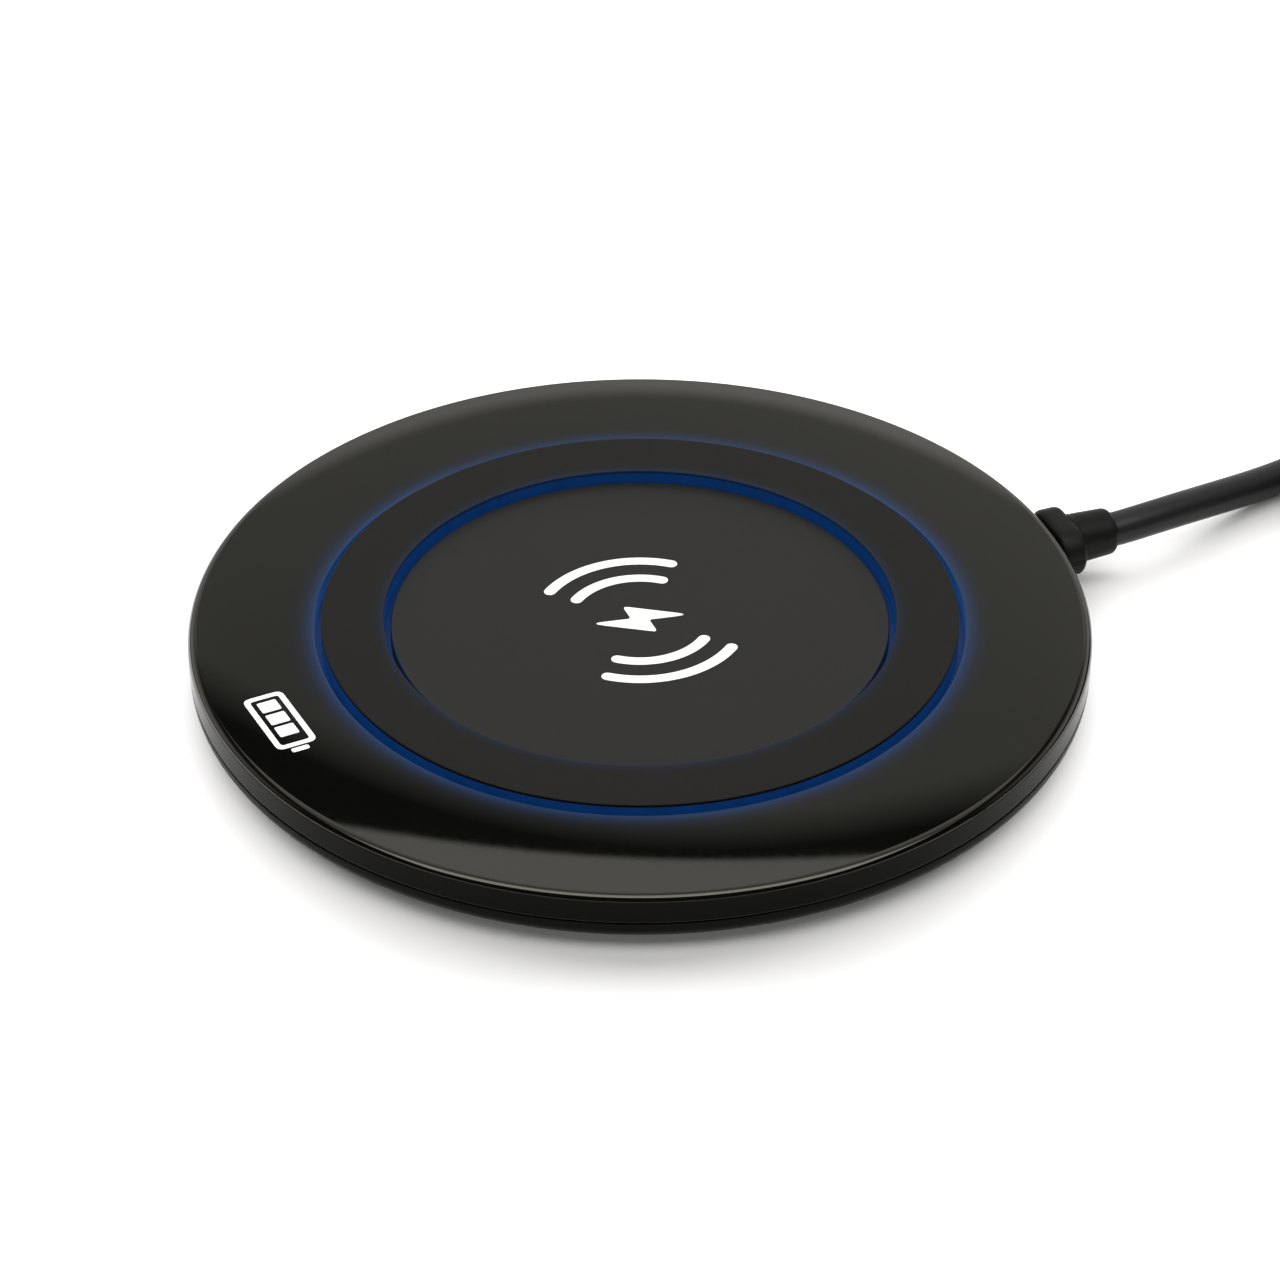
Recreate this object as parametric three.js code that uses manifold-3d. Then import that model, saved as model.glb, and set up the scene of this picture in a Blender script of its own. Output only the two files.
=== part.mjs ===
// Round wireless charging pad with its detachable USB lead.
//
// Millimetres, +Z up. The origin is the centre of the circle that the pad's feet
// stand on, and +Y points out of the power socket at the rear. The lead leaves the
// socket, and what is left of its length is stored as a tied round coil behind the pad.

import * as THREE from 'three';
import { mergeVertices } from 'three/addons/utils/BufferGeometryUtils.js';
import Module from 'manifold-3d';

const wasm = await Module();
wasm.setup();

// ---------------------------------------------------------------- driving sizes

// The pad's outside.
const PAD_RADIUS = 50;
const PAD_HEIGHT = 8;               // feet to the top of the grip ring
const RING_OUTER = 35.3;            // raised matte ring
const RING_INNER = 28.35;
const GROOVE_OUTER = 0.75;          // lit gap between the ring and the rim
const GROOVE_INNER = 0.7;           // lit gap between the ring and the centre disc
const DISC_DROP = 1.1;              // centre disc below the ring's top
const RIM_DROP = 0.75;              // rim's inner edge below the ring's top
const RIM_RISE = 0.12;              // the rim is very slightly dished: higher at its outer edge
const EDGE_RADIUS = 0.9;            // rounded edge from the rim into the side wall
const SEAM_Z = 3.8;                 // joint line between the two shells
const SEAM_GAP = 0.15;
const SEAM_EDGE = 0.3;              // chamfer of the upper shell at the seam
const TUCK = 0.05;                  // lower shell inside the upper one at the seam
const BASE_Z = 0.9;                 // underside of the lower shell
const BASE_RADIUS = 46;             // where the underside starts to curve up
const BELLY_Z = 3.3;                // where that curve meets the upright side
const WALL = 1.8;                   // side wall of the upper shell
const FLOOR = 1.2;                  // floor of the lower shell
const TOP_PLATE_Z = 5.6;            // underside of the rim and of what sits in it
const FIT = 0.2;                    // gap between pieces that sit in each other
const CLEAR = 0.3;                  // gap between neighbours that face each other

// Screws and feet.
const SCREW_COUNT = 4;
const SCREW_CIRCLE = 43.4;
const SCREW_TURN = Math.PI / 4;
const SCREW_RADIUS = 1;
const SCREW_HEAD_RADIUS = 1.8;
const SCREW_HEAD_HEIGHT = 0.95;
const SCREW_TIP_Z = 5.8;
const SCREW_SEAT_Z = 2.6;           // top of the counterbore in the lower shell
const BOSS_LOWER = { radius: 2.9, top: 3.5 };
const BOSS_UPPER = { radius: 2.4, bottom: 3.7 };
const FOOT_RADIUS = 3.2;
const FOOT_RECESS = 0.5;

// Light guide, charging coil and ferrite.
const GUIDE_INNER = 24.6;
const GUIDE_OUTER = 38.5;
const GUIDE_BOTTOM = 4.6;
const GUIDE_LIP = 0.3;              // thickness of the two lit lips beside the ring
const RING_CAP = 0.35;              // the ring's top overhangs the lips by this thickness
const POST = { circle: 25.3, radius: 0.9, top: 4.5, count: 8 };
const PLATEAU = { radius: 23.9, top: 2.9 };
const FERRITE = { radius: 24, bottom: 3, top: 3.6 };
const TAPE = { radius: 23.8, bottom: 3.7, top: 3.9 };
const WINDING = { inner: 10, outer: 23.4, bottom: 4, top: 5, turns: 12, groove: 0.25 };
const WINDING_WIRE = 0.2;           // radius of the two ends of the winding

// Circuit board.
const BOARD = { inner: 26.5, outer: 40, bottom: 2.4, top: 3.4 };
const BOARD_TAB = { halfWidth: 6.5, reach: 45.6 };
const LED_COUNT = 8;
const LED_CIRCLE = 32;

// Socket and plug of the lead: one axis along Y.
const PORT_Z = 4.1;
const PORT_OPENING = { width: 8.2, height: 3 };
const SOCKET = { width: 7.6, height: 2.6, sheet: 0.2, back: 42.9, mouth: 47.9 };
const PLUG = { width: 6.8, height: 1.8, sheet: 0.25, tip: 44, root: 52 };
const PLUG_BODY = { width: 9.6, height: 6.1, front: 50.3, back: 53.3, edge: 0.7 };
const NECK = { front: 53.6, back: 58.4, frontRadius: 2.9, backRadius: 2.7 };

// Lead: a round cable of 1 m.
const CABLE_RADIUS = 2;
const CABLE_SIDES = 10;
const CABLE_ROUTE = [
  [0, 58.7, 4.1], [-0.15, 61, 4.1], [-0.6, 64, 4.0], [-1.4, 68, 3.7], [-2.4, 72, 3.2],
  [-3.4, 76, 2.7], [-4.4, 80, 2.25], [-5.3, 84, 2.05], [-6.1, 88, 2.1], [-6.7, 91, 2.3],
  [-7.0, 93.4, 2.5],
];
const COIL_CENTRE = [16.9, 108];
const COIL_INNER = 14.2;            // inside of the innermost turn
const COIL_OUTER = 26.2;            // outside of the outermost turn
const COIL_BOTTOM = 0.8;
const COIL_TOP = 12.8;
const TAIL_ROUTE = [
  [42.6, 121.2, 8.0], [46.2, 117.9, 6.2], [49.5, 113.8, 4.9], [52.2, 109.4, 4.2], [54.2, 105, 4.0],
];
const TIE = { width: 5, strip: 0.5, turn: -Math.PI / 4 };

// USB-A plug on the far end, in its own frame: +Y runs from the cable to the contacts.
const FAR_PLUG = { at: [54.3, 104.72], axisZ: 4, turn: THREE.MathUtils.degToRad(-155) };
const FAR_NECK = { start: 0, end: 9, startRadius: 2.7, endRadius: 3.5 };
const FAR_BODY = { start: 9.3, end: 29.3, width: 15.5, height: 8, edge: 0.8, corner: 2.4 };
const FAR_SHELL = { start: 26.6, end: 41.3, width: 12, height: 4.5, sheet: 0.3 };
const FAR_WINDOW = { width: 2.4, length: 2.2, offset: 2.9, fromEnd: 5.6 };
const FAR_INSERT = { start: 26.9, end: 40.7, width: 11, height: 1.8 };
const FAR_CONTACTS = { pitches: [-3.5, -1, 1, 3.5], width: 1.2, length: 7.6, height: 0.12 };

// Facets.
const ROUND_SEGMENTS = 60;
const COIL_SEGMENTS = 36;
const SMALL_SEGMENTS = 12;

// ---------------------------------------------------------------- materials

function plastic(color, roughness) {
  return new THREE.MeshStandardMaterial({ color, roughness, metalness: 0 });
}

function metal(color, roughness) {
  return new THREE.MeshStandardMaterial({ color, roughness, metalness: 1 });
}

const glossBlack = () => plastic(0x15150f, 0.12);
const satinBlack = () => plastic(0x1a1a17, 0.5);
const matteBlack = () => plastic(0x2d2c28, 0.75);
const rubber = () => plastic(0x171717, 0.9);
const cableBlack = () => plastic(0x242424, 0.55);
const blueGuide = () => new THREE.MeshStandardMaterial({
  color: 0x0d2f66,
  roughness: 0.4,
  metalness: 0,
  emissive: 0x0a4cc0,
});
const boardGreen = () => plastic(0x12402a, 0.5);
const chipBlack = () => plastic(0x1c1c1e, 0.6);
const ceramicTan = () => plastic(0x9c7f5c, 0.6);
const copper = () => metal(0xb4683a, 0.4);
const ferriteGrey = () => plastic(0x303235, 0.6);
const tapeYellow = () => plastic(0xa8852f, 0.5);
const steel = () => metal(0xb9bbbd, 0.3);
const gold = () => metal(0xcfa04a, 0.3);
const insertBlack = () => plastic(0x202022, 0.5);
const ledWhite = () => plastic(0xe6e8ea, 0.4);

// ---------------------------------------------------------------- solid tools

const model = new THREE.Group();

function place(name, geometry, material, parent = model) {
  geometry.computeVertexNormals();
  const mesh = new THREE.Mesh(geometry, material);
  mesh.name = name;
  parent.add(mesh);
  return mesh;
}

// Keeps positions only, joins the points that coincide and drops empty triangles.
function weld(geometry) {
  const bare = geometry.clone();
  bare.deleteAttribute('normal');
  bare.deleteAttribute('uv');
  const welded = mergeVertices(bare);
  const corners = welded.index.array;
  const kept = [];
  for (let i = 0; i < corners.length; i += 3) {
    const [a, b, c] = corners.slice(i, i + 3);
    if (a !== b && b !== c && c !== a) kept.push(a, b, c);
  }
  welded.setIndex(kept);
  return welded;
}

function toSolid(geometry) {
  const welded = weld(geometry);
  return new wasm.Manifold(new wasm.Mesh({
    numProp: 3,
    vertProperties: new Float32Array(welded.attributes.position.array),
    triVerts: new Uint32Array(welded.index.array),
  }));
}

function toGeometry(solid) {
  const { vertProperties, triVerts } = solid.getMesh();
  const geometry = new THREE.BufferGeometry();
  geometry.setAttribute('position', new THREE.BufferAttribute(vertProperties, 3));
  geometry.setIndex(new THREE.BufferAttribute(triVerts, 1));
  return geometry;
}

function joined(body, additions) {
  return toGeometry(additions.reduce((solid, piece) => solid.add(toSolid(piece)), toSolid(body)));
}

function cutFrom(body, tools) {
  return toGeometry(tools.reduce((solid, tool) => solid.subtract(toSolid(tool)), toSolid(body)));
}

// ---------------------------------------------------------------- basic shapes

// Turns an outline of [radius, z] pairs, listed anticlockwise, about the Z axis.
function turned(outline, segments = ROUND_SEGMENTS) {
  const points = outline.map(([radius, z]) => new THREE.Vector2(radius, z));
  return weld(new THREE.LatheGeometry(points, segments).rotateX(Math.PI / 2));
}

function disc(radius, bottom, top, segments) {
  return turned([[0, bottom], [radius, bottom], [radius, top], [0, top]], segments);
}

function ring(inner, outer, bottom, top, segments) {
  const outline = [[inner, bottom], [outer, bottom], [outer, top], [inner, top], [inner, bottom]];
  return turned(outline, segments);
}

function rod(radius, bottom, top, circle, angle, segments = SMALL_SEGMENTS) {
  const geometry = disc(radius, bottom, top, segments);
  return geometry.translate(circle * Math.cos(angle), circle * Math.sin(angle), 0);
}

function box([x0, x1], [y0, y1], [z0, z1]) {
  const geometry = new THREE.BoxGeometry(x1 - x0, y1 - y0, z1 - z0);
  return weld(geometry.translate((x0 + x1) / 2, (y0 + y1) / 2, (z0 + z1) / 2));
}

// Points of an arc in the outline plane, both ends included.
function arc(centreR, centreZ, radius, from, to, steps) {
  return Array.from({ length: steps + 1 }, (_, i) => {
    const angle = from + (to - from) * i / steps;
    return [centreR + radius * Math.cos(angle), centreZ + radius * Math.sin(angle)];
  });
}

function aroundCircle(count, offset = 0) {
  return Array.from({ length: count }, (_, i) => offset + 2 * Math.PI * i / count);
}

function roundedRectangle(width, height, corner) {
  const x = width / 2 - corner;
  const y = height / 2 - corner;
  const shape = new THREE.Shape();
  shape.absarc(x, y, corner, 0, Math.PI / 2);
  shape.absarc(-x, y, corner, Math.PI / 2, Math.PI);
  shape.absarc(-x, -y, corner, Math.PI, 1.5 * Math.PI);
  shape.absarc(x, -y, corner, 1.5 * Math.PI, 2 * Math.PI);
  return shape;
}

// The micro-USB section: a rectangle whose two lower corners are cut off.
function plugSection(width, height) {
  const cut = 0.32 * height;
  return new THREE.Shape([
    new THREE.Vector2(-width / 2, height / 2),
    new THREE.Vector2(-width / 2, cut - height / 2),
    new THREE.Vector2(cut - width / 2, -height / 2),
    new THREE.Vector2(width / 2 - cut, -height / 2),
    new THREE.Vector2(width / 2, cut - height / 2),
    new THREE.Vector2(width / 2, height / 2),
  ]);
}

// Pushes a section that stands in the XZ plane along Y. A bevel rounds both ends.
function alongY(section, start, end, z, bevel = 0) {
  const geometry = new THREE.ExtrudeGeometry(section, {
    depth: end - start - 2 * bevel,
    bevelEnabled: bevel > 0,
    bevelThickness: bevel,
    bevelSize: bevel,
    bevelOffset: -bevel,
    bevelSegments: 2,
    curveSegments: 4,
  });
  return weld(geometry.rotateX(Math.PI / 2).translate(0, end - bevel, z));
}

function tube(points, radius, sides, steps) {
  const path = new THREE.CatmullRomCurve3(points.map((p) => new THREE.Vector3(...p)));
  const corners = aroundCircle(sides).map((a) => {
    return new THREE.Vector2(radius * Math.cos(a), radius * Math.sin(a));
  });
  const section = new THREE.Shape(corners);
  return weld(new THREE.ExtrudeGeometry(section, { extrudePath: path, steps }));
}

function taperedNeck(start, end, startRadius, endRadius, edge) {
  const outline = [
    [0, 0], [startRadius - edge / 2, 0], [startRadius, edge / 2],
    [endRadius, end - start - edge], [endRadius - edge * 0.3, end - start - edge * 0.3],
    [endRadius - edge, end - start], [0, end - start],
  ];
  return turned(outline, 20).rotateX(-Math.PI / 2).translate(0, start, 0);
}

// ---------------------------------------------------------------- casing

const screwAngles = aroundCircle(SCREW_COUNT, SCREW_TURN);
const ringTop = PAD_HEIGHT;
const rimInner = RING_OUTER + GROOVE_OUTER;
const rimInnerTop = ringTop - RIM_DROP;
const rimEdgeTop = rimInnerTop + RIM_RISE;
const discRadius = RING_INNER - GROOVE_INNER;
const baseInnerZ = BASE_Z + FLOOR;
const tongueOuter = PAD_RADIUS - WALL - CLEAR;

function portCutter() {
  const section = roundedRectangle(PORT_OPENING.width, PORT_OPENING.height, 0.5);
  return alongY(section, 44, 52, PORT_Z);
}

function rimCover() {
  const innerWall = PAD_RADIUS - WALL;
  const bottom = SEAM_Z + SEAM_GAP;
  const edge = arc(PAD_RADIUS - EDGE_RADIUS, rimEdgeTop - EDGE_RADIUS, EDGE_RADIUS, 0, Math.PI / 2, 5);
  const outline = [
    [innerWall, bottom], [PAD_RADIUS - SEAM_EDGE, bottom], [PAD_RADIUS, bottom + SEAM_EDGE],
    ...edge,
    [rimInner + 0.2, rimInnerTop], [rimInner, rimInnerTop - 0.15],
    [rimInner, TOP_PLATE_Z], [innerWall, TOP_PLATE_Z], [innerWall, bottom],
  ];
  const bosses = screwAngles.map((angle) => {
    return rod(BOSS_UPPER.radius, BOSS_UPPER.bottom, TOP_PLATE_Z + 0.3, SCREW_CIRCLE, angle);
  });
  const holes = screwAngles.map((angle) => {
    return rod(SCREW_RADIUS + FIT, BOSS_UPPER.bottom - 1, SCREW_TIP_Z + CLEAR, SCREW_CIRCLE, angle);
  });
  return cutFrom(joined(turned(outline), bosses), [...holes, portCutter()]);
}

function bottomShell() {
  const seamRadius = PAD_RADIUS - TUCK;
  const tongueInner = tongueOuter - 1.1;
  const tongueTop = TOP_PLATE_Z - 0.6;
  const curveUp = arc(0, 0, 1, -Math.PI / 2, 0, 4).map(([r, z]) => {
    return [BASE_RADIUS + (seamRadius - BASE_RADIUS) * r, BELLY_Z + (BELLY_Z - BASE_Z) * z];
  });
  const outline = [
    [0, BASE_Z], ...curveUp, [seamRadius, SEAM_Z - 0.15], [seamRadius - 0.15, SEAM_Z],
    [tongueOuter, SEAM_Z], [tongueOuter, tongueTop], [tongueInner, tongueTop],
    [tongueInner, baseInnerZ], [PLATEAU.radius, baseInnerZ], [PLATEAU.radius, PLATEAU.top],
    [0, PLATEAU.top],
  ];
  const bosses = screwAngles.map((angle) => {
    return rod(BOSS_LOWER.radius, baseInnerZ - 0.3, BOSS_LOWER.top, SCREW_CIRCLE, angle);
  });
  const posts = aroundCircle(POST.count).map((angle) => {
    return rod(POST.radius, baseInnerZ - 0.3, POST.top, POST.circle, angle, 8);
  });
  const footRecesses = screwAngles.map((angle) => {
    return rod(FOOT_RADIUS + FIT, 0, BASE_Z + FOOT_RECESS, SCREW_CIRCLE, angle, 20);
  });
  const counterbores = screwAngles.map((angle) => {
    return rod(SCREW_HEAD_RADIUS + FIT, 0, SCREW_SEAT_Z, SCREW_CIRCLE, angle);
  });
  const holes = screwAngles.map((angle) => {
    return rod(SCREW_RADIUS + FIT, 0, BOSS_LOWER.top + 1, SCREW_CIRCLE, angle);
  });
  const shell = joined(turned(outline), [...bosses, ...posts]);
  return cutFrom(shell, [...footRecesses, ...counterbores, ...holes, portCutter()]);
}

// The guide's lips stand against the ring's two sides, under its overhanging cap.
function lightGuide() {
  const flangeTop = TOP_PLATE_Z - 0.1;
  const lipTop = ringTop - RING_CAP - 0.1;
  const outerLip = RING_OUTER - 0.05;
  const innerLip = RING_INNER + 0.05;
  return turned([
    [GUIDE_INNER, GUIDE_BOTTOM], [GUIDE_OUTER, GUIDE_BOTTOM], [GUIDE_OUTER, flangeTop],
    [outerLip, flangeTop], [outerLip, lipTop],
    [outerLip - GUIDE_LIP, lipTop], [outerLip - GUIDE_LIP, flangeTop],
    [innerLip + GUIDE_LIP, flangeTop], [innerLip + GUIDE_LIP, lipTop],
    [innerLip, lipTop], [innerLip, flangeTop],
    [GUIDE_INNER, flangeTop], [GUIDE_INNER, GUIDE_BOTTOM],
  ]);
}

function gripRing() {
  const edge = 0.12;
  const inset = GUIDE_LIP + 0.05 + FIT;
  const capBottom = ringTop - RING_CAP;
  return turned([
    [RING_INNER + inset, TOP_PLATE_Z], [RING_OUTER - inset, TOP_PLATE_Z],
    [RING_OUTER - inset, capBottom], [RING_OUTER, capBottom], [RING_OUTER, ringTop - edge],
    [RING_OUTER - edge, ringTop], [RING_INNER + edge, ringTop], [RING_INNER, ringTop - edge],
    [RING_INNER, capBottom], [RING_INNER + inset, capBottom], [RING_INNER + inset, TOP_PLATE_Z],
  ]);
}

function centreDisc() {
  const top = ringTop - DISC_DROP;
  return turned([
    [0, TOP_PLATE_Z], [discRadius, TOP_PLATE_Z], [discRadius, top - 0.15],
    [discRadius - 0.15, top], [0, top],
  ]);
}

function caseScrew(angle) {
  const headTop = SCREW_SEAT_Z - 0.1;
  const geometry = turned([
    [0, headTop - SCREW_HEAD_HEIGHT], [SCREW_HEAD_RADIUS, headTop - SCREW_HEAD_HEIGHT],
    [SCREW_HEAD_RADIUS, headTop], [SCREW_RADIUS, headTop], [SCREW_RADIUS, SCREW_TIP_Z - 0.6],
    [0, SCREW_TIP_Z],
  ], SMALL_SEGMENTS);
  return geometry.translate(SCREW_CIRCLE * Math.cos(angle), SCREW_CIRCLE * Math.sin(angle), 0);
}

function foot(angle) {
  const top = BASE_Z + FOOT_RECESS - 0.05;
  const geometry = turned([
    [0, 0], [FOOT_RADIUS - 0.4, 0], [FOOT_RADIUS, 0.4], [FOOT_RADIUS, top], [0, top],
  ], 20);
  return geometry.translate(SCREW_CIRCLE * Math.cos(angle), SCREW_CIRCLE * Math.sin(angle), 0);
}

function buildCasing() {
  place('bottom_shell', bottomShell(), satinBlack());
  place('rim_cover', rimCover(), glossBlack());
  place('light_guide', lightGuide(), blueGuide());
  place('grip_ring', gripRing(), matteBlack());
  place('centre_disc', centreDisc(), matteBlack());
  screwAngles.forEach((angle, i) => {
    place(`case_screw_${i + 1}`, caseScrew(angle), steel());
    place(`foot_${i + 1}`, foot(angle), rubber());
  });
}

// ---------------------------------------------------------------- charging coil

function chargingWinding() {
  const { inner, outer, bottom, top, turns, groove } = WINDING;
  const pitch = (outer - inner) / turns;
  const crown = [];
  for (let i = turns; i > 0; i -= 1) {
    crown.push([inner + pitch * (i - 0.5), top]);
    if (i > 1) crown.push([inner + pitch * (i - 1), top - groove]);
  }
  const outline = [
    [inner, bottom], [outer, bottom], [outer, top - groove], ...crown,
    [inner, top - groove], [inner, bottom],
  ];
  return turned(outline, COIL_SEGMENTS);
}

function windingEnd(angle, profile) {
  const points = profile.map(([radius, z]) => {
    return [radius * Math.cos(angle), radius * Math.sin(angle), z];
  });
  return tube(points, WINDING_WIRE, 6, 10);
}

function buildChargingCoil() {
  const fromOutside = [[23.7, 4.3], [24.4, 4.15], [25.4, 3.9], [26.4, 3.75], [27.8, 3.7]];
  const fromInside = [[9.6, 4.9], [10.1, 5.28], [12, 5.32], [18, 5.32], [23.2, 5.3], [24, 4.9],
    [24.2, 4.3], [25.2, 3.9], [26.4, 3.75], [27.8, 3.7]];
  place('ferrite_plate', disc(FERRITE.radius, FERRITE.bottom, FERRITE.top, COIL_SEGMENTS), ferriteGrey());
  place('coil_tape', disc(TAPE.radius, TAPE.bottom, TAPE.top, COIL_SEGMENTS), tapeYellow());
  place('charging_coil', chargingWinding(), copper());
  place('coil_lead_outer', windingEnd(THREE.MathUtils.degToRad(191), fromOutside), copper());
  place('coil_lead_inner', windingEnd(THREE.MathUtils.degToRad(169), fromInside), copper());
}

// ---------------------------------------------------------------- circuit board

function mainBoard() {
  const plate = ring(BOARD.inner, BOARD.outer, BOARD.bottom, BOARD.top, ROUND_SEGMENTS);
  const tab = box(
    [-BOARD_TAB.halfWidth, BOARD_TAB.halfWidth],
    [BOARD.outer - 2, BOARD_TAB.reach],
    [BOARD.bottom, BOARD.top],
  );
  const notchHalf = SOCKET.width / 2 + CLEAR;
  const notch = box([-notchHalf, notchHalf], [SOCKET.back - CLEAR, BOARD_TAB.reach + 1], [2, 4]);
  return cutFrom(joined(plate, [tab]), [notch]);
}

// A rectangular component that stands on the board and faces its centre.
function boardPiece(name, length, width, height, circle, degrees, material) {
  const angle = THREE.MathUtils.degToRad(degrees);
  const bottom = BOARD.top + 0.05;
  const geometry = box([-width / 2, width / 2], [-length / 2, length / 2], [bottom, bottom + height]);
  const mesh = place(name, geometry, material);
  mesh.position.set(circle * Math.cos(angle), circle * Math.sin(angle), 0);
  mesh.rotation.z = angle;
}

function buildBoard() {
  place('main_board', mainBoard(), boardGreen());
  for (let i = 0; i < LED_COUNT; i += 1) {
    const degrees = 22.5 + 360 * i / LED_COUNT;
    boardPiece(`led_${i + 1}`, 2, 1.2, 0.7, LED_CIRCLE, degrees, ledWhite());
  }
  boardPiece('power_controller', 5, 5, 0.85, 33, 45, chipBlack());
  boardPiece('filter_inductor', 4, 4, 1, 34, 90, chipBlack());
  boardPiece('input_capacitor', 3.2, 1.6, 1, 34, 100, ceramicTan());
  boardPiece('clock_crystal', 3.2, 2.5, 0.7, 37.5, 54, steel());
  boardPiece('thermistor', 1.6, 0.8, 0.5, 28, 270, ceramicTan());
  [[30.5, 129], [36, 129], [30.5, 141], [36, 141]].forEach(([circle, degrees], i) => {
    boardPiece(`mosfet_${i + 1}`, 3, 3, 0.8, circle, degrees, chipBlack());
  });
  [[31, 175], [36, 175], [31, 185], [36, 185]].forEach(([circle, degrees], i) => {
    boardPiece(`resonant_capacitor_${i + 1}`, 3.2, 1.6, 1, circle, degrees, ceramicTan());
  });
}

// ---------------------------------------------------------------- power socket

function socketShell() {
  const { width, height, sheet, back, mouth } = SOCKET;
  const outside = alongY(plugSection(width, height), back, mouth, PORT_Z);
  const inside = plugSection(width - 2 * sheet, height - 2 * sheet);
  return cutFrom(outside, [alongY(inside, back + sheet, mouth + 1, PORT_Z)]);
}

function socketTongue() {
  const start = SOCKET.back + SOCKET.sheet + 0.05;
  const block = box([-3.1, 3.1], [start, start + 0.5], [PORT_Z - 0.6, PORT_Z + 0.9]);
  const blade = box([-2.9, 2.9], [start, SOCKET.mouth - 0.9], [PORT_Z + 0.1, PORT_Z + 0.5]);
  return joined(block, [blade]);
}

function buildSocket() {
  place('socket_shell', socketShell(), steel());
  place('socket_tongue', socketTongue(), insertBlack());
}

// ---------------------------------------------------------------- lead: pad end

function plugShell() {
  const { width, height, sheet, tip, root } = PLUG;
  const outside = alongY(plugSection(width, height), tip, root, PORT_Z);
  const inside = plugSection(width - 2 * sheet, height - 2 * sheet);
  return cutFrom(outside, [alongY(inside, tip - 1, root + 1, PORT_Z)]);
}

function plugInsert() {
  return box([-2.7, 2.7], [PLUG.tip + 0.4, PLUG.root - 0.2], [PORT_Z - 0.6, PORT_Z - 0.05]);
}

function plugBody() {
  const { width, height, front, back, edge } = PLUG_BODY;
  const section = roundedRectangle(width, height, height / 2);
  const pocket = plugSection(PLUG.width + 2 * FIT, PLUG.height + 2 * FIT);
  const body = alongY(section, front, back, PORT_Z, edge);
  return cutFrom(body, [alongY(pocket, front - 1, PLUG.root + FIT, PORT_Z)]);
}

function buildPadPlug() {
  const neck = taperedNeck(NECK.front, NECK.back, NECK.frontRadius, NECK.backRadius, 0.8);
  place('micro_plug_shell', plugShell(), steel());
  place('micro_plug_insert', plugInsert(), insertBlack());
  place('micro_plug_body', plugBody(), satinBlack());
  place('micro_plug_neck', neck.translate(0, 0, PORT_Z), satinBlack());
}

// ---------------------------------------------------------------- lead: cable

function cableTie() {
  const inner = { low: COIL_INNER - 0.6, high: COIL_OUTER + CLEAR };
  const outer = { low: inner.low - TIE.strip, high: inner.high + TIE.strip };
  const half = TIE.width / 2;
  const top = COIL_TOP + CLEAR;
  const block = box([outer.low, outer.high], [-half, half], [0, top + TIE.strip]);
  const space = box([inner.low, inner.high], [-half - 1, half + 1], [TIE.strip, top]);
  return cutFrom(block, [space]);
}

function buildCable() {
  const bundle = ring(COIL_INNER, COIL_OUTER, COIL_BOTTOM, COIL_TOP, COIL_SEGMENTS);
  place('cable_run', tube(CABLE_ROUTE, CABLE_RADIUS, CABLE_SIDES, 16), cableBlack());
  place('cable_tail', tube(TAIL_ROUTE, CABLE_RADIUS, CABLE_SIDES, 8), cableBlack());
  place('cable_coil', bundle.translate(...COIL_CENTRE, 0), cableBlack());
  const tie = place('cable_tie', cableTie(), rubber());
  tie.position.set(...COIL_CENTRE, 0);
  tie.rotation.z = TIE.turn;
}

// ---------------------------------------------------------------- lead: far end

function farBody() {
  const { start, end, width, height, edge, corner } = FAR_BODY;
  const body = alongY(roundedRectangle(width, height, corner), start, end, 0, edge);
  const pocket = roundedRectangle(FAR_SHELL.width + 2 * CLEAR, FAR_SHELL.height + 2 * CLEAR, 0.6);
  return cutFrom(body, [alongY(pocket, FAR_SHELL.start - CLEAR, end + 1, 0)]);
}

function farShell() {
  const { start, end, width, height, sheet } = FAR_SHELL;
  const outside = alongY(roundedRectangle(width, height, 0.5), start, end, 0);
  const inside = roundedRectangle(width - 2 * sheet, height - 2 * sheet, 0.25);
  const { width: wide, length, offset, fromEnd } = FAR_WINDOW;
  const windows = [-offset, offset].map((x) => {
    return box([x - wide / 2, x + wide / 2], [end - fromEnd - length, end - fromEnd], [-5, 5]);
  });
  return cutFrom(outside, [alongY(inside, start - 1, end + 1, 0), ...windows]);
}

function buildFarPlug() {
  const plug = new THREE.Group();
  plug.position.set(...FAR_PLUG.at, FAR_PLUG.axisZ);
  plug.rotation.z = FAR_PLUG.turn;
  model.add(plug);
  const neck = taperedNeck(FAR_NECK.start, FAR_NECK.end, FAR_NECK.startRadius, FAR_NECK.endRadius, 0.6);
  place('usb_a_neck', neck, satinBlack(), plug);
  place('usb_a_body', farBody(), satinBlack(), plug);
  place('usb_a_shell', farShell(), steel(), plug);
  const insertBottom = 0.05;
  const insert = box(
    [-FAR_INSERT.width / 2, FAR_INSERT.width / 2],
    [FAR_INSERT.start, FAR_INSERT.end],
    [insertBottom, insertBottom + FAR_INSERT.height],
  );
  place('usb_a_insert', insert, insertBlack(), plug);
  FAR_CONTACTS.pitches.forEach((x, i) => {
    const strip = box(
      [x - FAR_CONTACTS.width / 2, x + FAR_CONTACTS.width / 2],
      [FAR_INSERT.end - 0.6 - FAR_CONTACTS.length, FAR_INSERT.end - 0.6],
      [insertBottom - 0.05 - FAR_CONTACTS.height, insertBottom - 0.05],
    );
    place(`usb_a_contact_${i + 1}`, strip, gold(), plug);
  });
}

// ---------------------------------------------------------------- assembly

buildCasing();
buildChargingCoil();
buildBoard();
buildSocket();
buildPadPlug();
buildCable();
buildFarPlug();

export default model;
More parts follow.
